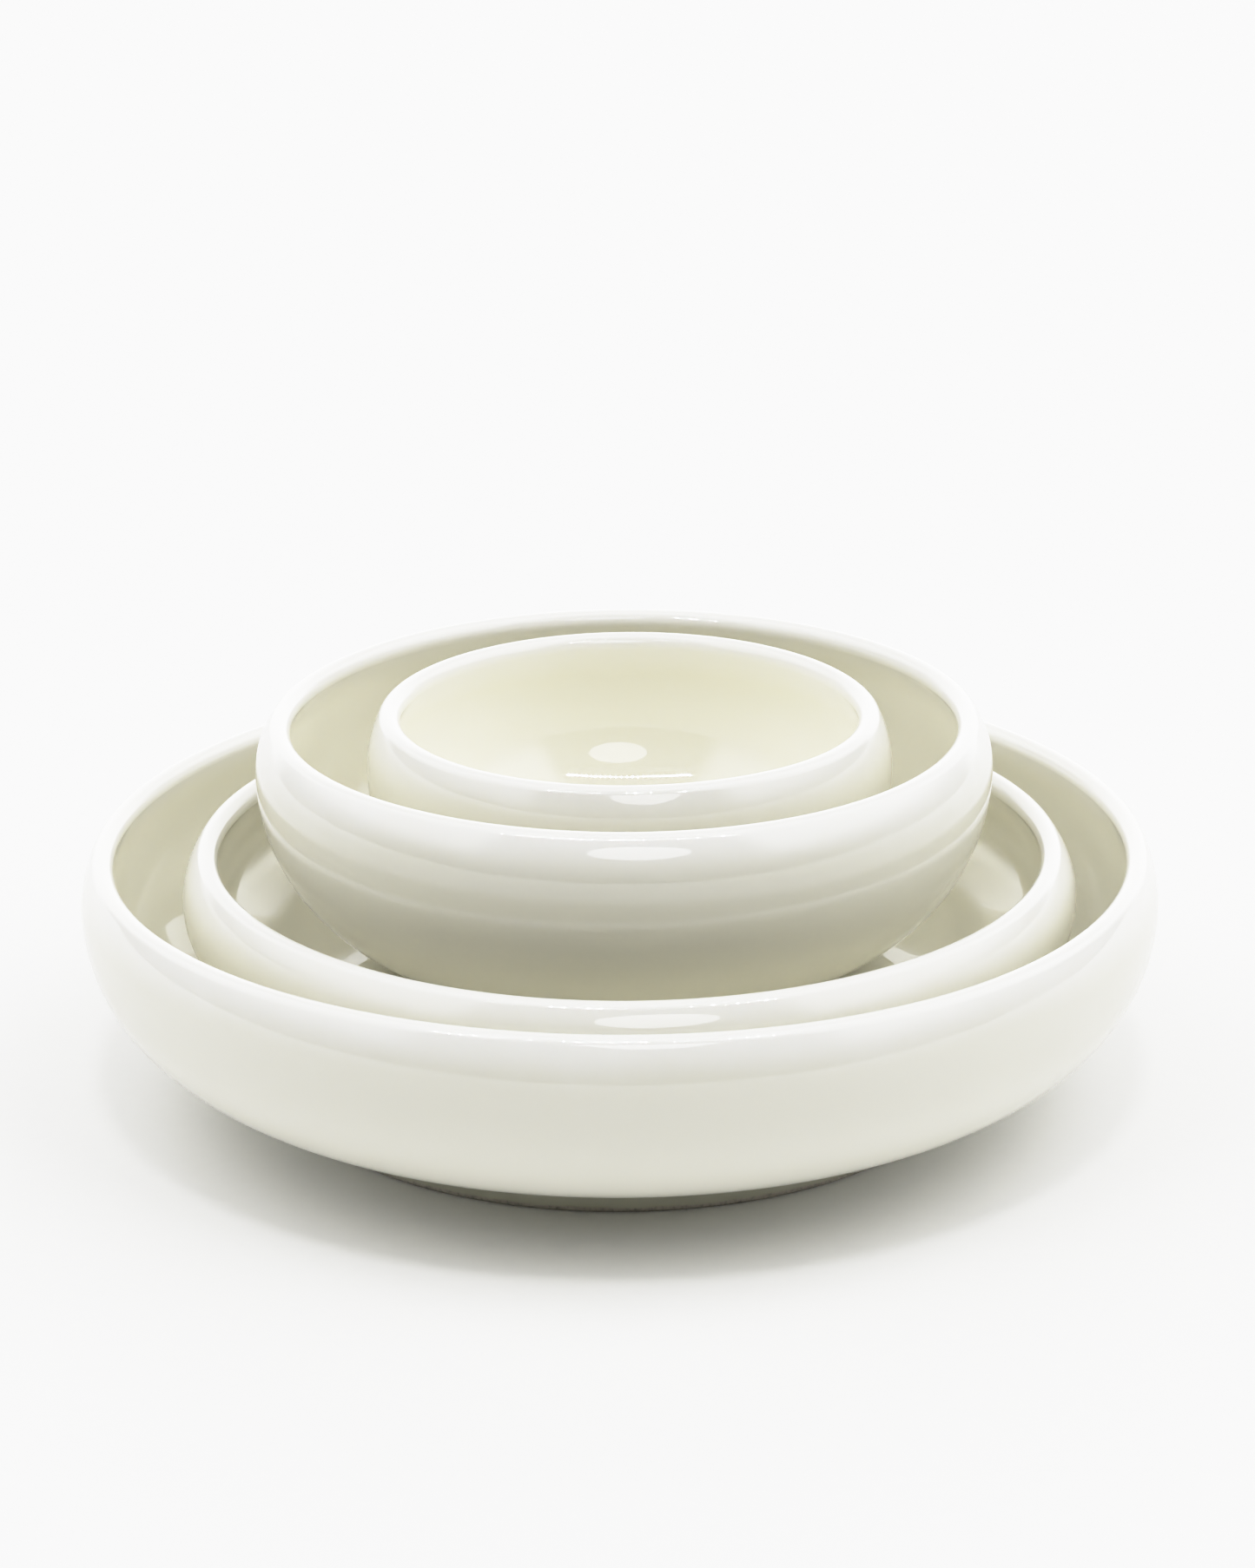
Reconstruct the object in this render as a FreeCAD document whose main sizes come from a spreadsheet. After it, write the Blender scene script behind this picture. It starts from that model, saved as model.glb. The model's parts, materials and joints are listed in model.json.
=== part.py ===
"""Nest of four porcelain bowls: each smaller bowl stands loose on the floor of the next larger one.

Units are millimetres, +Z is up, and the origin is the centre of the largest bowl's foot on the table.
Every bowl is one turned wall of even thickness: a flat floor, a rounded belly, a shoulder that leans
in over the bowl, a fully rounded lip, and a foot ring under the flat part.
"""
import FreeCAD, Part

import math
import os

import Sketcher

NEST = ["largest_bowl", "large_bowl", "medium_bowl", "small_bowl"]

# Driving dimensions, in millimetres. A short first word says which bowl a value belongs to.
SIZES = {
    "wall": 5.5,  # thickness of every wall and floor, and of the rounded lip
    "foot_ring_width": 4.5,
    "foot_edge_radius": 0.9,
    "foot_blend_radius": 2.0,
    "largest_outer_radius": 130.0,
    "largest_height": 60.2,
    "largest_rim_rise": 13.4,  # from the widest level up to the top of the lip
    "largest_rim_inset": 5.3,  # how far the top of the lip leans in from the widest radius
    "largest_belly_reach": 35.2,  # from the widest radius in to the edge of the flat floor
    "largest_foot_height": 11.8,
    "largest_foot_inset": 8.6,  # from the edge of the flat underside in to the foot ring
    "large_nest_gap": 13.4,  # from the mouth of the next larger bowl to this bowl's widest radius
    "large_height": 42.0,
    "large_rim_rise": 12.5,
    "large_rim_inset": 6.0,
    "large_foot_gap": 21.0,  # from the edge of the floor it stands on to this bowl's foot ring
    "large_foot_height": 6.5,
    "large_foot_inset": 3.0,
    "large_offset": 2.2,  # how far the bowl was set down to one side of the nest's axis
    "medium_nest_gap": 11.0,
    "medium_height": 61.7,
    "medium_rim_rise": 12.1,
    "medium_rim_inset": 5.8,
    "medium_foot_gap": 37.0,
    "medium_foot_height": 4.0,
    "medium_foot_inset": 3.0,
    "medium_offset": 0.9,
    "small_nest_gap": 16.9,
    "small_height": 53.7,
    "small_rim_rise": 14.5,
    "small_rim_inset": 5.5,
    "small_foot_gap": 9.5,
    "small_foot_height": 4.0,
    "small_foot_inset": 3.0,
    "small_offset": 2.3,
}


def make_sheet(doc):
    """Write the driving dimensions into a spreadsheet, one named cell each."""
    sheet = doc.addObject("Spreadsheet::Sheet", "Sizes")
    for row, (alias, value) in enumerate(SIZES.items(), start=1):
        sheet.set("A%d" % row, alias)
        sheet.set("B%d" % row, str(value))
        sheet.setAlias("B%d" % row, alias)
    doc.recompute()
    return sheet


def size_rules():
    """Give, for each bowl, the expressions that its profile and its place follow.

    The largest bowl has its own outer radius. Every other bowl takes its outer radius from the mouth
    it passes through, and its foot and its height above the table from the floor it stands on.
    """
    rules = {}
    outer = "Sizes.largest_outer_radius"
    floor = "(%s - Sizes.largest_belly_reach)" % outer
    foot = "(%s - Sizes.largest_foot_inset)" % floor
    base = "0"
    offset = "0"
    for name in NEST:
        own = "Sizes." + name.replace("_bowl", "_")
        if name != NEST[0]:
            outer = "(%s - %snest_gap)" % (mouth, own)
            foot = "(%s - %sfoot_gap)" % (floor, own)
            floor = "(%s + %sfoot_inset)" % (foot, own)
            base = "%s + %s" % (base, floor_rise)
            offset = own + "offset"
        widest = "(%sheight - %srim_rise)" % (own, own)
        under = own + "foot_height"
        rules[name] = {
            "outer_radius": outer,
            "widest_level": widest,
            "lip_radius": "Sizes.wall / 2",
            "lip_centre_radius": "%s - %srim_inset" % (outer, own),
            "lip_centre_level": "%sheight - Sizes.wall / 2" % own,
            "floor_radius": floor,
            "underside_level": under,
            "foot_outer_radius": foot,
            "foot_inner_radius": "%s - Sizes.foot_ring_width" % foot,
            "belly_turn": "atan((%s - %s) / (%s - %s))" % (outer, floor, widest, under),
            "base": base,
            "offset": offset,
        }
        mouth = "(%s - %srim_inset - Sizes.wall / 2)" % (outer, own)
        floor_rise = "%sfoot_height + Sizes.wall" % own
    return rules


def point(radius, level):
    """A point of the profile sketch: radius along the sketch's X axis, level along its Y axis."""
    return FreeCAD.Vector(radius, level, 0)


def arc(centre, radius, start, end):
    """A counter-clockwise sketch arc between two angles in degrees."""
    circle = Part.Circle(centre, FreeCAD.Vector(0, 0, 1), radius)
    return Part.ArcOfCircle(circle, math.radians(start), math.radians(end))


def belly_radii(reach, depth, turn):
    """Radii of the two tangent arcs that turn from vertical to level over this reach and depth.

    The upper arc covers the first part of the quarter turn, an angle in radians, and the lower arc
    covers the rest.
    """
    difference = (reach - depth) / (math.sin(turn) + math.cos(turn) - 1)
    upper = reach - math.cos(turn) * difference
    return upper, upper + difference


def draw_profile(sketch, at, wall):
    """Draw a bowl's half section from its sizes, and tie it together with geometric constraints.

    The sections are drawn in their true place, and the dimensions of add_dimensions hold them there.
    """
    outer, floor = at["outer_radius"], at["floor_radius"]
    widest, under = at["widest_level"], at["underside_level"]
    foot_outer, foot_inner = at["foot_outer_radius"], at["foot_inner_radius"]
    lip, turn = at["lip_radius"], at["belly_turn"]
    upper, lower = belly_radii(outer - floor, widest - under, math.radians(turn))
    belly_centre = point(outer - upper, widest)
    lower_centre = point(floor, under + lower)
    lip_centre = point(at["lip_centre_radius"], at["lip_centre_level"])
    lean, rise = outer - lip_centre.x, lip_centre.y - widest
    shoulder = (lean ** 2 + rise ** 2 - lip ** 2) / (2 * (lean - lip))
    shoulder_centre = point(outer - shoulder, widest)
    tilt = math.degrees(math.asin(rise / (shoulder - lip)))

    pieces = {
        "floor": Part.LineSegment(point(0, under + wall), point(floor, under + wall)),
        "inner_lower": arc(lower_centre, lower - wall, -90, -turn),
        "inner_belly": arc(belly_centre, upper - wall, -turn, 0),
        "inner_shoulder": arc(shoulder_centre, shoulder - wall, 0, tilt),
        "lip": arc(lip_centre, lip, tilt, tilt + 180),
        "shoulder": arc(shoulder_centre, shoulder, 0, tilt),
        "belly": arc(belly_centre, upper, -turn, 0),
        "lower": arc(lower_centre, lower, -90, -turn),
        "underside": Part.LineSegment(point(floor, under), point(foot_outer, under)),
        "foot_outside": Part.LineSegment(point(foot_outer, under), point(foot_outer, 0)),
        "foot_face": Part.LineSegment(point(foot_outer, 0), point(foot_inner, 0)),
        "foot_inside": Part.LineSegment(point(foot_inner, 0), point(foot_inner, under)),
        "recess": Part.LineSegment(point(foot_inner, under), point(0, under)),
        "axis": Part.LineSegment(point(0, under), point(0, under + wall)),
    }
    index = {}
    for name, piece in pieces.items():
        index[name] = sketch.addGeometry(piece, False)

    def add(kind, *where):
        sketch.addConstraint(Sketcher.Constraint(kind, *where))

    start, end, centre = 1, 2, 3
    smooth = [
        ("floor", end, "inner_lower", start),
        ("inner_lower", end, "inner_belly", start),
        ("inner_belly", end, "inner_shoulder", start),
        ("inner_shoulder", end, "lip", end),
        ("lip", start, "shoulder", end),
        ("shoulder", start, "belly", end),
        ("belly", start, "lower", end),
        ("lower", start, "underside", start),
    ]
    for first, first_end, second, second_end in smooth:
        add("Tangent", index[first], first_end, index[second], second_end)
    corners = ["underside", "foot_outside", "foot_face", "foot_inside", "recess", "axis", "floor"]
    for first, second in zip(corners, corners[1:]):
        add("Coincident", index[first], end, index[second], start)
    for level in ("floor", "underside", "foot_face", "recess"):
        add("Horizontal", index[level])
    for upright in ("foot_outside", "foot_inside", "axis"):
        add("Vertical", index[upright])
    for first, second in (("lower", "inner_lower"), ("belly", "inner_belly"), ("shoulder", "inner_shoulder")):
        add("Coincident", index[first], centre, index[second], centre)
    add("Horizontal", index["belly"], centre, index["belly"], end)
    add("Horizontal", index["underside"], end, index["recess"], start)
    add("PointOnObject", index["axis"], start, -2)
    add("PointOnObject", index["foot_face"], start, -1)
    return index


def add_dimensions(sketch, index, rules, at):
    """Add the driving dimensions, each named and bound to its expression."""
    start, end, centre = 1, 2, 3
    across = {
        "outer_radius": ("belly", end),
        "lip_centre_radius": ("lip", centre),
        "floor_radius": ("lower", start),
        "foot_outer_radius": ("foot_face", start),
        "foot_inner_radius": ("foot_face", end),
    }
    upward = {
        "widest_level": ("belly", end),
        "lip_centre_level": ("lip", centre),
        "underside_level": ("lower", start),
    }
    dimensions = {}
    for name, (piece, spot) in across.items():
        dimensions[name] = Sketcher.Constraint("DistanceX", -1, 1, index[piece], spot, at[name])
    for name, (piece, spot) in upward.items():
        dimensions[name] = Sketcher.Constraint("DistanceY", -1, 1, index[piece], spot, at[name])
    dimensions["lip_radius"] = Sketcher.Constraint("Radius", index["lip"], at["lip_radius"])
    turn = math.radians(at["belly_turn"])
    dimensions["belly_turn"] = Sketcher.Constraint("Angle", index["belly"], turn)
    for name, dimension in dimensions.items():
        number = sketch.addConstraint(dimension)
        sketch.renameConstraint(number, name)
        sketch.setExpression("Constraints." + name, rules[name])


def circle_edges(shape, radius, level):
    """Names of a shape's full-circle edges with this radius at this level."""
    found = []
    for number, edge in enumerate(shape.Edges, start=1):
        if not isinstance(edge.Curve, Part.Circle):
            continue
        same_radius = math.isclose(edge.Curve.Radius, radius, abs_tol=1e-5)
        same_level = math.isclose(edge.Curve.Center.z, level, abs_tol=1e-5)
        if same_radius and same_level:
            found.append("Edge%d" % number)
    return found


def round_edges(doc, body, base, rings, size):
    """Round the circular edges named by (radius, level) pairs with the radius of one sheet cell."""
    edges = []
    for radius, level in rings:
        edges += circle_edges(base.Shape, radius, level)
    if len(edges) != len(rings):
        raise RuntimeError("%s has %d of %d edges for %s" % (body.Label, len(edges), len(rings), size))
    fillet = body.newObject("PartDesign::Fillet", body.Name + "_" + size)
    fillet.Base = (base, edges)
    fillet.setExpression("Radius", "Sizes." + size)
    doc.recompute()
    return fillet


def make_bowl(doc, name, rules):
    """Turn one bowl: the half section, its revolution, and the rounded edges of its foot ring."""
    body = doc.addObject("PartDesign::Body", name)
    body.Label = name
    planes = {feature.Role: feature for feature in body.Origin.OriginFeatures}
    sketch = body.newObject("Sketcher::SketchObject", name + "_section")
    sketch.AttachmentSupport = (planes["XZ_Plane"], [""])
    sketch.MapMode = "FlatFace"
    doc.recompute()

    at = {}
    for key, rule in rules.items():
        at[key] = FreeCAD.Units.Quantity(sketch.evalExpression(rule)).Value
    index = draw_profile(sketch, at, SIZES["wall"])
    add_dimensions(sketch, index, rules, at)
    doc.recompute()

    turned = body.newObject("PartDesign::Revolution", name + "_turned")
    turned.Profile = sketch
    turned.ReferenceAxis = (sketch, ["V_Axis"])
    turned.Angle = 360.0
    doc.recompute()

    outer, inner, under = at["foot_outer_radius"], at["foot_inner_radius"], at["underside_level"]
    rounded = round_edges(doc, body, turned, [(outer, 0), (inner, 0)], "foot_edge_radius")
    rounded = round_edges(doc, body, rounded, [(outer, under), (inner, under)], "foot_blend_radius")
    body.Tip = rounded
    body.setExpression("Placement.Base.x", rules["offset"])
    body.setExpression("Placement.Base.z", rules["base"])
    doc.recompute()
    return body


def check(doc, bodies):
    """Stop if any object failed to compute or any bowl is not one valid solid."""
    for thing in doc.Objects:
        if "Invalid" in thing.State or "Error" in thing.State:
            raise RuntimeError("%s did not compute: %s" % (thing.Label, thing.State))
        if thing.isDerivedFrom("Sketcher::SketchObject") and not thing.FullyConstrained:
            raise RuntimeError("%s is not fully constrained" % thing.Label)
    for body in bodies:
        if body.Shape.isNull() or not body.Shape.isValid():
            raise RuntimeError("%s has no valid shape" % body.Label)
        if len(body.Shape.Solids) != 1:
            raise RuntimeError("%s is not one solid" % body.Label)


def main():
    doc = FreeCAD.newDocument("bowl_nest")
    make_sheet(doc)
    rules = size_rules()
    bodies = []
    for name in NEST:
        bodies.append(make_bowl(doc, name, rules[name]))
    check(doc, bodies)
    os.makedirs("parts", exist_ok=True)
    for body in bodies:
        body.Shape.exportStep("parts/%s.step" % body.Label)
        box = body.Shape.optimalBoundingBox(False, False)
        print("%-14s radius %6.2f  level %6.2f to %6.2f" % (body.Label, box.XLength / 2, box.ZMin, box.ZMax))


main()
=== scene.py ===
"""Studio render of a nest of four porcelain bowls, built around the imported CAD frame.

Every bowl is turned again here as a fine mesh: the same half section as the CAD solid, with the small
unevenness of a fired pot, under a procedural glaze with a bare, rough foot. Units are metres.
"""

import json
import math

import bmesh
import bpy
from mathutils import Matrix, Vector


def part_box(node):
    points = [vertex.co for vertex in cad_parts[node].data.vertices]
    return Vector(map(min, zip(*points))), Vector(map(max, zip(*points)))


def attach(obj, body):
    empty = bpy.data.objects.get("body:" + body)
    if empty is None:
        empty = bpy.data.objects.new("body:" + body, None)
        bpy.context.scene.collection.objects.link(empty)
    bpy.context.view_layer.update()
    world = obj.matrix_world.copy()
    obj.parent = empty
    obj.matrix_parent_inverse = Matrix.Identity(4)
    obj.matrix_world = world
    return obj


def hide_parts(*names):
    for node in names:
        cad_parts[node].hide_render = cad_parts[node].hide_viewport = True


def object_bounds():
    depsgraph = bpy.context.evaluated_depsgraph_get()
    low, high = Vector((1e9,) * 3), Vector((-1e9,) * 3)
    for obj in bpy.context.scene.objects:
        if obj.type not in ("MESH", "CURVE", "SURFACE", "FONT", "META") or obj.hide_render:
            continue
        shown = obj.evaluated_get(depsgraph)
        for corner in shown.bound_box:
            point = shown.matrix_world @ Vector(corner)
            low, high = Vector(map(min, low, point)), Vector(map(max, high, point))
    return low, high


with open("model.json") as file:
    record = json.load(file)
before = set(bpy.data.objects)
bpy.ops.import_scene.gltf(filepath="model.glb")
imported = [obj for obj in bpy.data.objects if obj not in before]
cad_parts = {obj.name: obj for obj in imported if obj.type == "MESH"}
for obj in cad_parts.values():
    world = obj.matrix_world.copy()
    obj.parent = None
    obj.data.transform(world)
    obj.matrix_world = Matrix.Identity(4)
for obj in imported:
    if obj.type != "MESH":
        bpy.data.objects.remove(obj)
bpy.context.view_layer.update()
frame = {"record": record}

MM = 0.001
WALL = 5.5 * MM
FOOT_RING_WIDTH = 4.5 * MM
FOOT_EDGE = 0.9 * MM
FOOT_BLEND = 2.0 * MM
SEGMENTS = 224  # around each bowl
ARC_STEP = math.radians(3.0)
UNDER_STEPS = 10  # along the flat underside inside the foot ring
FLOOR_STEPS = 14  # along the flat floor inside the bowl
SAME_POINT = 0.001 * MM
GLAZE_AND_PAINTED_LIGHT_RUN = 11.0 * MM  # how far below the rim the thicker glaze and painted shade of the outer wall, and the painted bounce light inside, reach their full strength
FOOT_SHADE = 6.0 * MM  # how far above the foot ring its painted shade reaches

# Each bowl's own section, in millimetres; its radius, height and place come from the frame.
# rise: from the widest line up to the rim. inset: the lip's middle in from the widest line.
# reach: the floor's edge in from the widest line. foot_inset: the foot ring in from the floor's edge.
SECTIONS = {
    "largest": {"rise": 13.4, "inset": 5.3, "reach": 35.2, "foot_height": 11.8, "foot_inset": 8.6},
    "large": {"rise": 12.5, "inset": 6.0, "reach": 31.95, "foot_height": 6.5, "foot_inset": 3.0},
    "medium": {"rise": 12.1, "inset": 5.8, "reach": 46.0, "foot_height": 4.0, "foot_inset": 3.0},
    "small": {"rise": 14.5, "inset": 5.5, "reach": 27.05, "foot_height": 4.0, "foot_inset": 3.0},
}

# How fully the inside of each bowl takes the painted bounce light, a deeper, yellower colour.
INNER_PAINTED_BOUNCE_SHARE = {"largest": 1.0, "large": 1.0, "medium": 1.0, "small": 0.8}

# How far each fired bowl is from perfectly round, in millimetres: (lobes, size, direction in degrees).
UNEVEN = {
    "largest": {"round": [(2, 0.35, 20), (3, 0.2, 75)], "level": [(2, 0.3, 60), (3, 0.15, 10)]},
    "large": {"round": [(2, 0.3, 110), (3, 0.2, 40)], "level": [(2, 0.25, 150), (3, 0.15, 80)]},
    "medium": {"round": [(2, 0.25, 65), (3, 0.15, 0)], "level": [(2, 0.25, 35), (3, 0.1, 120)]},
    "small": {"round": [(2, 0.2, 140), (3, 0.1, 95)], "level": [(2, 0.2, 100), (3, 0.1, 50)]},
}
ROUND_ROOM = 0.4 * MM  # how far the uneven wall is drawn in, and the rim down, to stay in the CAD box
LEVEL_ROOM = 0.3 * MM


# ---------------------------------------------------------------- the bowls' shape

def arc(centre, radius, start, end):
    """Points (r, z) along an arc from one angle to another, in radians, both ends included."""
    count = max(2, math.ceil(abs(end - start) / ARC_STEP))
    points = []
    for step in range(count + 1):
        angle = start + (end - start) * step / count
        points.append((centre[0] + radius * math.cos(angle), centre[1] + radius * math.sin(angle)))
    return points


def line(start, end, count):
    """Evenly spaced points (r, z) from start to end, both included."""
    points = []
    for step in range(count + 1):
        share = step / count
        points.append((start[0] + (end[0] - start[0]) * share, start[1] + (end[1] - start[1]) * share))
    return points


def half_section(outer, height, section):
    """The bowl's outline from the axis under its floor, out round the wall and lip, and back in.

    Also gives the foot ring's outer radius.
    """
    size = {key: value * MM for key, value in section.items()}
    under, widest = size["foot_height"], height - size["rise"]
    reach, depth = size["reach"], widest - size["foot_height"]
    floor_edge = outer - reach
    foot_outer = floor_edge - size["foot_inset"]
    foot_inner = foot_outer - FOOT_RING_WIDTH

    turn = math.atan2(reach, depth)
    difference = (reach - depth) / (math.sin(turn) + math.cos(turn) - 1)
    upper = reach - math.cos(turn) * difference
    lower = upper + difference
    belly_centre = (outer - upper, widest)
    lower_centre = (floor_edge, under + lower)

    lip = WALL / 2
    lip_centre = (outer - size["inset"], height - lip)
    lean, rise = size["inset"], lip_centre[1] - widest
    shoulder = (lean ** 2 + rise ** 2 - lip ** 2) / (2 * (lean - lip))
    shoulder_centre = (outer - shoulder, widest)
    tilt = math.asin(rise / (shoulder - lip))

    quarter = math.pi / 2
    stretches = [
        line((0, under), (foot_inner - FOOT_BLEND, under), UNDER_STEPS),
        arc((foot_inner - FOOT_BLEND, under - FOOT_BLEND), FOOT_BLEND, quarter, 0),
        arc((foot_inner + FOOT_EDGE, FOOT_EDGE), FOOT_EDGE, 2 * quarter, 3 * quarter),
        arc((foot_outer - FOOT_EDGE, FOOT_EDGE), FOOT_EDGE, 3 * quarter, 4 * quarter),
        arc((foot_outer + FOOT_BLEND, under - FOOT_BLEND), FOOT_BLEND, 2 * quarter, quarter),
        arc(lower_centre, lower, -quarter, -turn),
        arc(belly_centre, upper, -turn, 0),
        arc(shoulder_centre, shoulder, 0, tilt),
        arc(lip_centre, lip, tilt, tilt + 2 * quarter),
        arc(shoulder_centre, shoulder - WALL, tilt, 0),
        arc(belly_centre, upper - WALL, 0, -turn),
        arc(lower_centre, lower - WALL, -turn, -quarter),
        line((floor_edge, under + WALL), (0, under + WALL), FLOOR_STEPS),
    ]
    points = []
    for stretch in stretches:
        for spot in stretch:
            if not points or math.dist(points[-1], spot) > SAME_POINT:
                points.append(spot)
    return points, foot_outer


def lobes(terms, angle):
    """Sum of a few gentle waves round the bowl, in metres."""
    return sum(size * MM * math.cos(count * (angle - math.radians(way))) for count, size, way in terms)


def join_rings(mesh, rings):
    """Lay a strip of faces between each ring of points and the next; a ring on the axis is one point."""
    for ring, following in zip(rings, rings[1:]):
        for segment in range(SEGMENTS):
            after = (segment + 1) % SEGMENTS
            if len(ring) == 1:
                mesh.faces.new((ring[0], following[after], following[segment]))
            elif len(following) == 1:
                mesh.faces.new((ring[segment], ring[after], following[0]))
            else:
                mesh.faces.new((ring[segment], ring[after], following[after], following[segment]))


def make_bowl(name, body):
    """Turn a bowl's half section into a closed mesh that fills its CAD node's box."""
    node = name + "_bowl"
    low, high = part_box(node)
    centre = (low + high) / 2
    outer, height = (high.x - low.x) / 2, high.z - low.z
    section = SECTIONS[name]
    points, foot_outer = half_section(outer, height, section)
    uneven = UNEVEN[name]
    foot_height = section["foot_height"] * MM

    mesh = bmesh.new()
    rings = []
    # How much each point takes of each colour: (outside: thicker glaze and painted shade, inside: painted
    # bounce light, on the foot: painted shade).
    glaze_and_light_layer = mesh.verts.layers.float_vector.new("glaze_depth")
    crest = max(range(len(points)), key=lambda index: points[index][1])
    for index, (radius, level) in enumerate(points):
        # Below the rim the outer wall takes thicker glaze and painted shade, and the inside takes painted
        # bounce light.
        fall = min(1.0, (height - level) / GLAZE_AND_PAINTED_LIGHT_RUN)
        inside = index > crest
        # Painted shade low on the outside, round and under the foot ring.
        under = 0.0 if inside else max(0.0, 1.0 - max(0.0, level - foot_height) / FOOT_SHADE)
        depth = Vector((0.0 if inside else fall, fall * INNER_PAINTED_BOUNCE_SHARE[name] if inside else 0.0, under))
        if radius < SAME_POINT:
            rings.append([mesh.verts.new((centre.x, centre.y, low.z + level))])
            rings[-1][0][glaze_and_light_layer] = depth
            continue
        ring = []
        swell = max(0.0, min(1.0, (radius - foot_outer) / (outer - foot_outer))) * (level / height)
        for segment in range(SEGMENTS):
            angle = 2 * math.pi * segment / SEGMENTS
            out = radius + swell * (lobes(uneven["round"], angle) - ROUND_ROOM)
            up = level + swell * (lobes(uneven["level"], angle) - LEVEL_ROOM)
            ring.append(mesh.verts.new((
                centre.x + out * math.cos(angle),
                centre.y + out * math.sin(angle),
                low.z + up,
            )))
            ring[-1][glaze_and_light_layer] = depth
        rings.append(ring)
    join_rings(mesh, rings)
    bmesh.ops.recalc_face_normals(mesh, faces=mesh.faces)
    for face in mesh.faces:
        face.smooth = True
    data = bpy.data.meshes.new(name + "_porcelain")
    mesh.to_mesh(data)
    mesh.free()

    bowl = bpy.data.objects.new(name + "_porcelain", data)
    bpy.context.scene.collection.objects.link(bowl)
    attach(bowl, body)
    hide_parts(node)
    bowl.data.materials.append(glaze(name, low.z, centre))


# ---------------------------------------------------------------- materials

def node_at(tree, kind, inputs=None, **settings):
    """Add a shader node, set its properties, and set or link its inputs."""
    node = tree.nodes.new(kind)
    for key, value in settings.items():
        setattr(node, key, value)
    for key, value in (inputs or {}).items():
        if isinstance(value, bpy.types.NodeSocket):
            tree.links.new(value, node.inputs[key])
        else:
            node.inputs[key].default_value = value
    return node


def new_material(name):
    """A new material with an unlinked Principled shader, and its node tree."""
    material = bpy.data.materials.new(name)
    material.use_nodes = True
    tree = material.node_tree
    tree.nodes.clear()
    surface = tree.nodes.new("ShaderNodeBsdfPrincipled")
    output = tree.nodes.new("ShaderNodeOutputMaterial")
    tree.links.new(surface.outputs["BSDF"], output.inputs["Surface"])
    return material, tree, surface


def noise(tree, place, scale, detail=3.0, roughness=0.5):
    """Noise between 0 and 1."""
    return node_at(tree, "ShaderNodeTexNoise", {
        "Vector": place, "Scale": scale, "Detail": detail, "Roughness": roughness,
    }).outputs["Fac"]


def ramp(tree, value, low, high, to_low=0.0, to_high=1.0):
    """A smooth change from to_low to to_high as the value goes from low to high."""
    return node_at(tree, "ShaderNodeMapRange", {
        "Value": value, "From Min": low, "From Max": high, "To Min": to_low, "To Max": to_high,
    }, interpolation_type="SMOOTHSTEP").outputs["Result"]


def mix_colour(tree, share, first, second):
    """The first colour changing to the second as share goes from 0 to 1."""
    mixed = node_at(tree, "ShaderNodeMix", data_type="RGBA")
    for socket, value in ((mixed.inputs[0], share), (mixed.inputs[6], first), (mixed.inputs[7], second)):
        if isinstance(value, bpy.types.NodeSocket):
            tree.links.new(value, socket)
        else:
            socket.default_value = value
    return mixed.outputs[2]


def maths(tree, operation, first, second):
    """One Math node on two numbers or sockets."""
    node = node_at(tree, "ShaderNodeMath", operation=operation)
    for socket, value in zip(node.inputs, (first, second)):
        if isinstance(value, bpy.types.NodeSocket):
            tree.links.new(value, socket)
        else:
            socket.default_value = value
    return node.outputs[0]


# Colours of the glaze where it runs thin on the rim, of the outer wall (thicker glaze and painted shade),
# of the inside (painted bounce light), of the painted shade round the foot, and of the clay.
THIN_GLAZE = (0.925, 0.917, 0.875, 1.0)
OUTER_GLAZE_AND_PAINTED_SHADE = (0.757, 0.744, 0.648, 1.0)
INNER_PAINTED_BOUNCE = (0.885, 0.865, 0.730, 1.0)
FOOT_PAINTED_SHADE = (0.580, 0.570, 0.460, 1.0)
IRON_SPECK = (0.210, 0.120, 0.060, 1.0)
BARE_CLAY = (0.480, 0.445, 0.380, 1.0)
WORN_CLAY = (0.320, 0.295, 0.250, 1.0)

GLAZE_IOR = 1.62
GLOSS_FROM, GLOSS_TO = 0.015, 0.035  # roughness of the glaze, which drifts between the two
CLAY_ROUGHNESS = 0.62
CLOUD_SHARE = 0.7  # of the glaze's drift, the rest being fine mottle
DRIFT = 0.5
SPECK_RARITY = 0.985
SPECK_INNER, SPECK_OUTER = 0.008, 0.02  # in the size of a cell of the speck pattern
SPECK_STRENGTH = 0.75
BARE_BELOW, GLAZED_ABOVE = 1.0 * MM, 1.6 * MM  # heights between which the glaze begins
GLAZE_EDGE_WANDER = 1.2 * MM
THROWING_RELIEF, SOFT_RELIEF, PEEL_RELIEF, GRIT_RELIEF = 0.05, 0.6, 0.008, 0.5
RELIEF_STRENGTH = 0.35
RELIEF_DEPTH = 0.4 * MM


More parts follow.
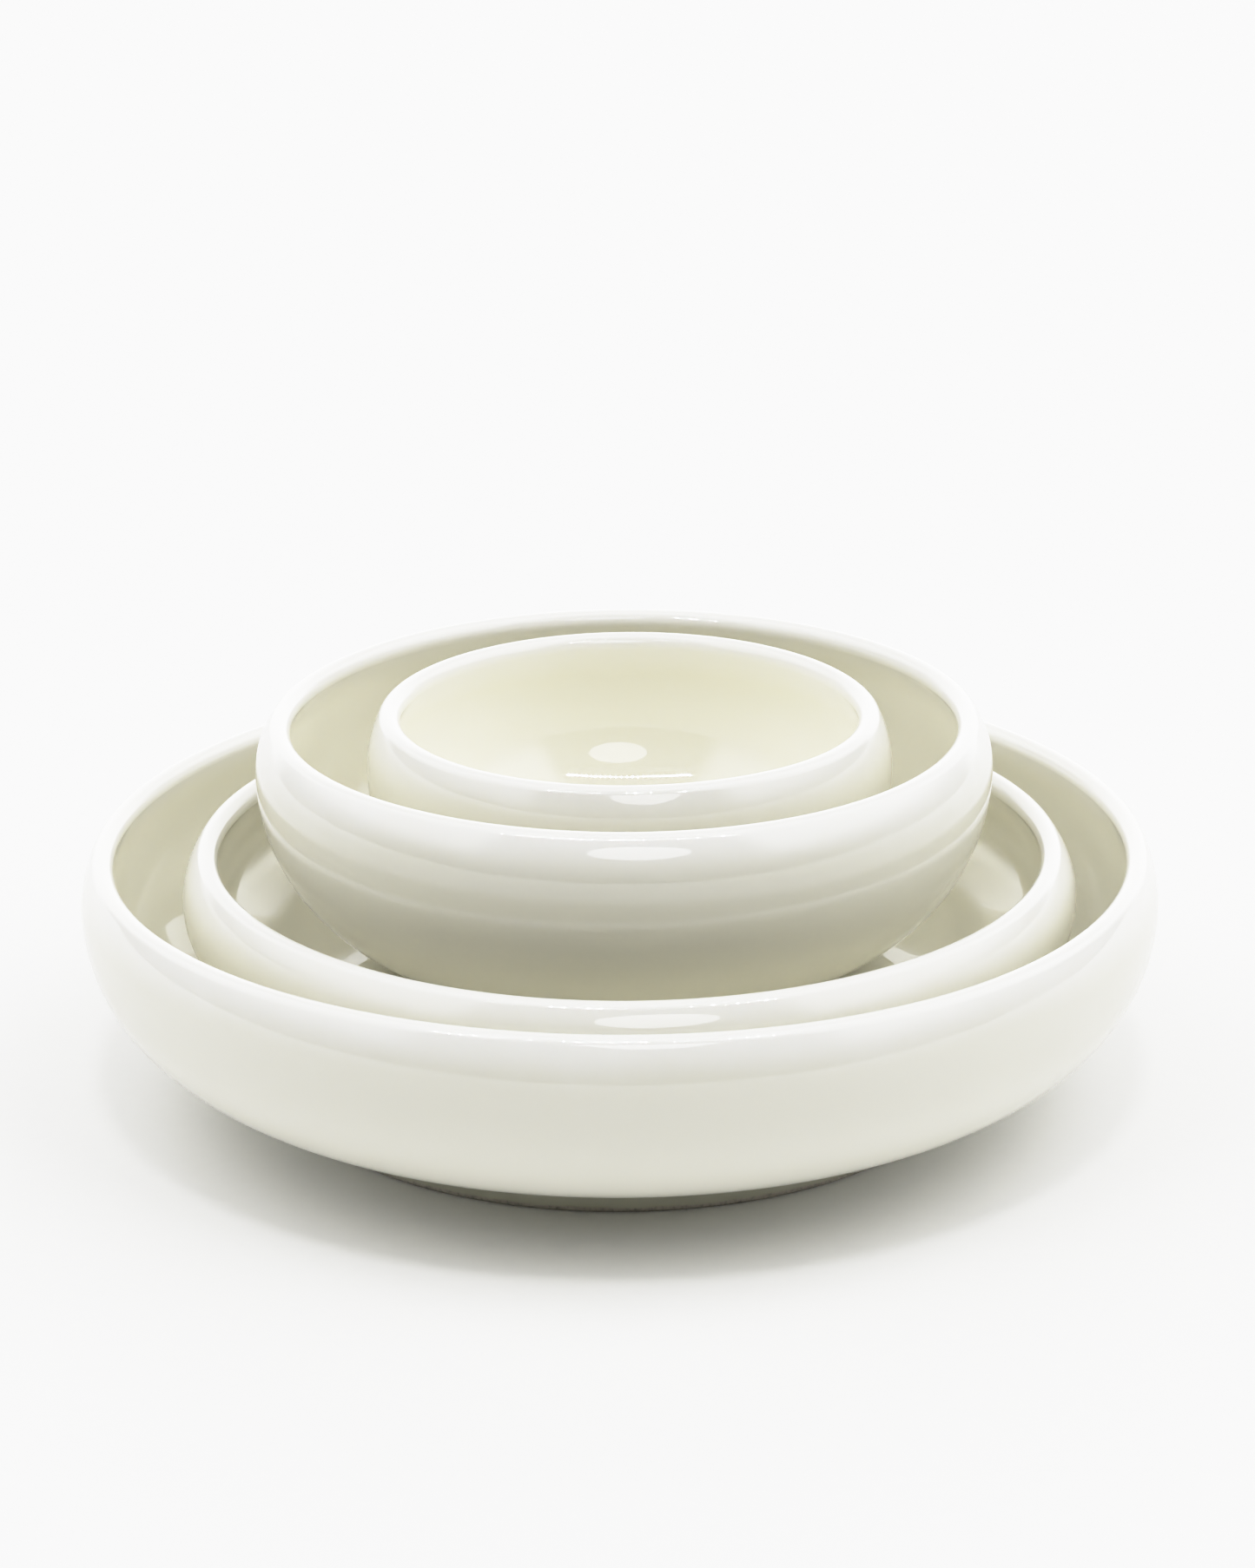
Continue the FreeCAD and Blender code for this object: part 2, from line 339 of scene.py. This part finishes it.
def glaze(name, base, centre):
    """Clear, slightly green-cream gloss glaze over white clay, left off the standing face of the foot,
    with painted shade on the outer wall and round the foot and painted bounce light inside.
    """
    material, tree, surface = new_material(name + "_glaze")
    local = node_at(tree, "ShaderNodeTexCoord").outputs["Object"]
    shifted = node_at(tree, "ShaderNodeVectorMath", {
        0: local, 1: (-centre.x, -centre.y, -base),
    }, operation="ADD").outputs["Vector"]
    seed = 10.0 * (1 + sorted(SECTIONS).index(name))
    place = node_at(tree, "ShaderNodeVectorMath", {0: shifted, 1: (seed, seed, seed)}, operation="ADD")
    place = place.outputs["Vector"]
    height = node_at(tree, "ShaderNodeSeparateXYZ", {"Vector": shifted}).outputs["Z"]

    clouds = noise(tree, place, 22.0, detail=2.0)
    mottle = noise(tree, place, 130.0, detail=4.0, roughness=0.6)
    pooled = maths(tree, "ADD", maths(tree, "MULTIPLY", clouds, CLOUD_SHARE),
                   maths(tree, "MULTIPLY", mottle, 1.0 - CLOUD_SHARE))
    # Shares of the outer glaze and painted shade, the inner painted bounce light and the foot's painted
    # shade.
    depth = node_at(tree, "ShaderNodeAttribute", attribute_name="glaze_depth").outputs["Vector"]
    depth = node_at(tree, "ShaderNodeSeparateXYZ", {"Vector": depth}).outputs
    drift = maths(tree, "MULTIPLY", maths(tree, "SUBTRACT", pooled, 0.5), DRIFT)
    # Outer wall: darker below the rim, from thicker glaze and painted shade.
    colour = mix_colour(tree, ramp(tree, maths(tree, "ADD", depth["X"], drift), 0.0, 1.0),
                        THIN_GLAZE, OUTER_GLAZE_AND_PAINTED_SHADE)
    # Inside: painted bounce light, a yellower colour where light bounces round the hollow.
    colour = mix_colour(tree, ramp(tree, maths(tree, "ADD", depth["Y"], drift), 0.0, 1.0),
                        colour, INNER_PAINTED_BOUNCE)
    # Round the foot: painted shade.
    colour = mix_colour(tree, depth["Z"], colour, FOOT_PAINTED_SHADE)

    cells = node_at(tree, "ShaderNodeTexVoronoi", {"Vector": place, "Scale": 34.0})
    chosen = node_at(tree, "ShaderNodeSeparateColor", {"Color": cells.outputs["Color"]}).outputs["Red"]
    rare = maths(tree, "GREATER_THAN", chosen, SPECK_RARITY)
    spot = ramp(tree, cells.outputs["Distance"], SPECK_INNER, SPECK_OUTER, 1.0, 0.0)
    speck = maths(tree, "MULTIPLY", maths(tree, "MULTIPLY", rare, spot), SPECK_STRENGTH)
    colour = mix_colour(tree, speck, colour, IRON_SPECK)

    wander = maths(tree, "MULTIPLY", maths(tree, "SUBTRACT", mottle, 0.5), GLAZE_EDGE_WANDER)
    bare = ramp(tree, maths(tree, "ADD", height, wander), BARE_BELOW, GLAZED_ABOVE, 1.0, 0.0)
    grit = noise(tree, place, 900.0, detail=2.0, roughness=0.7)
    clay = mix_colour(tree, ramp(tree, grit, 0.4, 0.75), BARE_CLAY, WORN_CLAY)
    tree.links.new(mix_colour(tree, bare, colour, clay), surface.inputs["Base Color"])

    gloss = ramp(tree, mottle, 0.3, 0.7, GLOSS_FROM, GLOSS_TO)
    rough = node_at(tree, "ShaderNodeMix", {0: bare, 2: gloss, 3: CLAY_ROUGHNESS}, data_type="FLOAT")
    tree.links.new(rough.outputs[0], surface.inputs["Roughness"])
    surface.inputs["IOR"].default_value = GLAZE_IOR
    surface.inputs["Subsurface Weight"].default_value = 0.12
    surface.inputs["Subsurface Radius"].default_value = (1.0, 0.9, 0.7)
    surface.inputs["Subsurface Scale"].default_value = 0.0015

    turned = node_at(tree, "ShaderNodeTexWave", {
        "Vector": shifted, "Scale": 55.0, "Distortion": 1.2, "Detail": 2.0, "Detail Scale": 2.0,
    }, wave_type="BANDS", bands_direction="Z").outputs["Fac"]
    soft = noise(tree, place, 60.0, detail=1.0)
    peel = noise(tree, place, 420.0, detail=1.0)
    bare_grit = maths(tree, "MULTIPLY", grit, bare)
    relief = maths(tree, "MULTIPLY", turned, THROWING_RELIEF)
    for pattern, share in ((soft, SOFT_RELIEF), (peel, PEEL_RELIEF), (bare_grit, GRIT_RELIEF)):
        relief = maths(tree, "ADD", relief, maths(tree, "MULTIPLY", pattern, share))
    bump = node_at(tree, "ShaderNodeBump", {
        "Height": relief, "Strength": RELIEF_STRENGTH, "Distance": RELIEF_DEPTH,
    })
    tree.links.new(bump.outputs["Normal"], surface.inputs["Normal"])
    return material


def floor_material():
    """Smooth white studio sweep."""
    material, tree, surface = new_material("studio_white")
    place = node_at(tree, "ShaderNodeTexCoord").outputs["Object"]
    grain = noise(tree, place, 260.0, detail=3.0)
    colour = mix_colour(tree, grain, (0.900, 0.900, 0.897, 1.0), (0.925, 0.925, 0.922, 1.0))
    tree.links.new(colour, surface.inputs["Base Color"])
    surface.inputs["Roughness"].default_value = 0.55
    surface.inputs["Specular IOR Level"].default_value = 0.3
    return material


# ---------------------------------------------------------------- studio

FLOOR_REACH = 30.0
FLOOR_DROP = 0.05 * MM  # between the floor and the foot
SWEEP_FRONT = 0.75  # how far in front of the nest's middle the lighting part of the floor ends
WALL_RADIUS = 12.0
WALL_STEPS = 96
WALL_FOOT = -0.1
WALL_GLOW = 1.48


def add_floor():
    """A large flat floor level with the foot of the largest bowl.

    Its front part is seen but neither lights the bowls nor shows in their glaze.
    """
    material = floor_material()
    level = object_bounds()[0].z - FLOOR_DROP
    spans = {"sweep": (-SWEEP_FRONT, FLOOR_REACH), "floor": (-FLOOR_REACH, -SWEEP_FRONT)}
    for name, (front, back) in spans.items():
        data = bpy.data.meshes.new(name)
        corners = [(-FLOOR_REACH, front), (FLOOR_REACH, front), (FLOOR_REACH, back), (-FLOOR_REACH, back)]
        data.from_pydata([(x, y, level) for x, y in corners], [], [(0, 1, 2, 3)])
        piece = bpy.data.objects.new(name, data)
        piece.data.materials.append(material)
        piece.visible_diffuse = name == "sweep"
        piece.visible_glossy = name == "sweep"
        bpy.context.scene.collection.objects.link(piece)


def add_backdrop():
    """A pale wall far round the bowls, for low views, which only the camera sees."""
    data = bpy.data.meshes.new("backdrop")
    points = []
    for level in (WALL_FOOT, WALL_RADIUS):
        for step in range(WALL_STEPS):
            angle = 2 * math.pi * step / WALL_STEPS
            points.append((WALL_RADIUS * math.cos(angle), WALL_RADIUS * math.sin(angle), level))
    faces = []
    for step in range(WALL_STEPS):
        after = (step + 1) % WALL_STEPS
        faces.append((step, after, WALL_STEPS + after, WALL_STEPS + step))
    data.from_pydata(points, [], faces)
    material, _, surface = new_material("studio_wall")
    surface.inputs["Base Color"].default_value = (0.0, 0.0, 0.0, 1.0)
    surface.inputs["Specular IOR Level"].default_value = 0.0
    surface.inputs["Emission Color"].default_value = (1.0, 1.0, 1.0, 1.0)
    surface.inputs["Emission Strength"].default_value = WALL_GLOW
    data.materials.append(material)
    wall = bpy.data.objects.new("backdrop", data)
    wall.visible_diffuse = False
    wall.visible_glossy = False
    wall.visible_transmission = False
    wall.visible_shadow = False
    bpy.context.scene.collection.objects.link(wall)


def add_lamp(name, shape, place, target, width, depth, power):
    """A lamp that shows only as a reflection in the glaze."""
    light = bpy.data.lights.new(name, "AREA")
    light.shape = shape
    light.size = width
    light.size_y = depth
    light.energy = power
    lamp = bpy.data.objects.new(name, light)
    lamp.location = place
    lamp.rotation_euler = (Vector(target) - Vector(place)).to_track_quat("-Z", "Y").to_euler()
    lamp.visible_camera = False
    lamp.visible_diffuse = False
    bpy.context.scene.collection.objects.link(lamp)


# The light tent round the bowls: a roof, two side panels and a glowing backdrop; the front is open.
# Each soft edge is the pair of heights, in degrees above the floor, between which the light changes.
ROOF_LIGHT = 2.2
ROOF_EDGE = (66, 88)
SIDE_LIGHT = 2.5
SIDE_EDGE = (8, 28)
BACKDROP_LIGHT = 2.5
BACKDROP_DIM = 0.3
BACKDROP_EDGE = (15, 45)
SIDE_CORNER = (40, 52)  # degrees round from the front, as is the next
BACK_CORNER = (125, 145)
SLANT = 0.13  # the right side is this share brighter than the middle, and the left side darker


def soft_edge(tree, angle, edge, before, after):
    """A soft change of light across an edge, given as a pair of angles in degrees."""
    return ramp(tree, angle, math.radians(edge[0]), math.radians(edge[1]), before, after)


def add_tent():
    """Surroundings: a white light tent, open and dark at the front, where the camera looks in."""
    world = bpy.data.worlds.new("light_tent")
    world.use_nodes = True
    tree = world.node_tree
    way = node_at(tree, "ShaderNodeTexCoord").outputs["Generated"]
    parts = node_at(tree, "ShaderNodeSeparateXYZ", {"Vector": way}).outputs
    height = maths(tree, "ARCSINE", parts["Z"], 0.0)
    to_front = maths(tree, "MULTIPLY", parts["Y"], -1.0)
    turn = maths(tree, "ABSOLUTE", maths(tree, "ARCTAN2", parts["X"], to_front), 0.0)

    roof = soft_edge(tree, height, ROOF_EDGE, 0.0, ROOF_LIGHT)
    side = soft_edge(tree, height, SIDE_EDGE, 0.0, SIDE_LIGHT)
    glow = soft_edge(tree, height, BACKDROP_EDGE, BACKDROP_LIGHT, BACKDROP_DIM)
    walls = mix_colour(tree, soft_edge(tree, turn, SIDE_CORNER, 0.0, 1.0), roof, side)
    back = maths(tree, "ADD", roof, glow)
    walls = mix_colour(tree, soft_edge(tree, turn, BACK_CORNER, 0.0, 1.0), walls, back)

    slant = maths(tree, "ADD", maths(tree, "MULTIPLY", parts["X"], SLANT), 1.0)
    walls = node_at(tree, "ShaderNodeVectorMath", {0: walls, "Scale": slant}, operation="SCALE")
    tree.links.new(walls.outputs["Vector"], tree.nodes["Background"].inputs["Color"])
    bpy.context.scene.world = world


KEY_STRENGTH = 0.62
KEY_SPREAD = math.radians(9)
KEY_TILT = math.radians(13)  # from straight overhead towards the front

WINDOW_PLACE = (0.13, -1.19, 0.85)
WINDOW_AIM = (0.0, 0.0, 0.05)
WINDOW_WIDTH, WINDOW_DEPTH = 0.70, 0.42
WINDOW_POWER = 3.6

LEDS = 26
LED_SPACING = 0.021
LED_FRONT, LED_HEIGHT = -0.29, 0.48
LED_AIM_FRONT, LED_AIM_HEIGHT = -0.07, 0.08
LED_TURN_IN = 0.3  # where a lamp aims, as a share of its distance from the middle of the row
LED_SIZE = 0.007
LED_POWER = 0.14


def add_key():
    """A soft sun just in front of overhead, which gives the shadow its edge and makes no highlight."""
    light = bpy.data.lights.new("key", "SUN")
    light.energy = KEY_STRENGTH
    light.angle = KEY_SPREAD
    key = bpy.data.objects.new("key", light)
    key.rotation_euler = (KEY_TILT, 0.0, 0.0)
    key.visible_glossy = False
    bpy.context.scene.collection.objects.link(key)


def add_lights():
    """The tent, the soft key light, and the lamps that the glaze mirrors."""
    add_tent()
    add_key()
    add_lamp("window", "ELLIPSE", WINDOW_PLACE, WINDOW_AIM, WINDOW_WIDTH, WINDOW_DEPTH, WINDOW_POWER)
    for step in range(LEDS):
        x = (step - (LEDS - 1) / 2) * LED_SPACING
        place = (x, LED_FRONT, LED_HEIGHT)
        target = (x * LED_TURN_IN, LED_AIM_FRONT, LED_AIM_HEIGHT)
        add_lamp("led_%02d" % step, "RECTANGLE", place, target, LED_SIZE, LED_SIZE, LED_POWER)


# Below the knee the picture is as bright as the scene; above it the brightness rolls off towards 1.
TONE_KNEE = 0.6
TONE_WHITE = 3.0
TONE_STOPS = (0.3, 0.6, 0.75, 0.9, 1.1, 1.35, 1.7, 2.2)


def tone(light):
    """Brightness in the picture for brightness in the scene."""
    if light <= TONE_KNEE:
        return light
    return TONE_KNEE + (1 - TONE_KNEE) * (1 - math.exp(-(light - TONE_KNEE) / (1 - TONE_KNEE)))


def set_view():
    """Plain view with a soft shoulder, so that lit porcelain keeps its shape on a white floor."""
    view = bpy.context.scene.view_settings
    view.view_transform = "Standard"
    view.look = "None"
    view.use_curve_mapping = True
    mapping = view.curve_mapping
    mapping.white_level = (TONE_WHITE,) * 3
    curve = mapping.curves[3]
    for light in TONE_STOPS:
        curve.points.new(light / TONE_WHITE, tone(light))
    curve.points[-1].location = (1.0, tone(TONE_WHITE))
    mapping.update()


CAMERA_DISTANCE = 0.9374
CAMERA_ELEVATION = math.radians(19.77)
CAMERA_ROLL = math.radians(0.31)
CAMERA_AIM_X, CAMERA_AIM_HEIGHT = 0.0018, 0.0723
SENSOR_WIDTH = 36.0
LENS_IN_SENSOR_WIDTHS = 3.0997


def add_camera():
    """A long lens about a metre away, a little above the rims, aimed at the middle of the nest."""
    middle = Vector((CAMERA_AIM_X, 0.0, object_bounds()[0].z + CAMERA_AIM_HEIGHT))
    away = Vector((0.0, -math.cos(CAMERA_ELEVATION), math.sin(CAMERA_ELEVATION)))
    data = bpy.data.cameras.new("camera")
    data.sensor_fit = "HORIZONTAL"
    data.sensor_width = SENSOR_WIDTH
    data.lens = SENSOR_WIDTH * LENS_IN_SENSOR_WIDTHS
    data.clip_start = 0.01
    data.clip_end = 200.0
    camera = bpy.data.objects.new("camera", data)
    turn = away.to_track_quat("Z", "Y").to_matrix() @ Matrix.Rotation(-CAMERA_ROLL, 3, "Z")
    camera.matrix_world = Matrix.Translation(middle + away * CAMERA_DISTANCE) @ turn.to_4x4()
    bpy.context.scene.collection.objects.link(camera)
    bpy.context.scene.camera = camera


def main():
    """Make the studio and the four bowls, each riding on the body that holds its CAD node."""
    bodies = {}
    for body, nodes in frame["record"]["behaviour"]["bodies"].items():
        bodies[nodes[0].replace("_bowl", "")] = body
    add_camera()
    add_floor()
    add_backdrop()
    add_lights()
    for name in SECTIONS:
        make_bowl(name, bodies[name])
    set_view()


main()
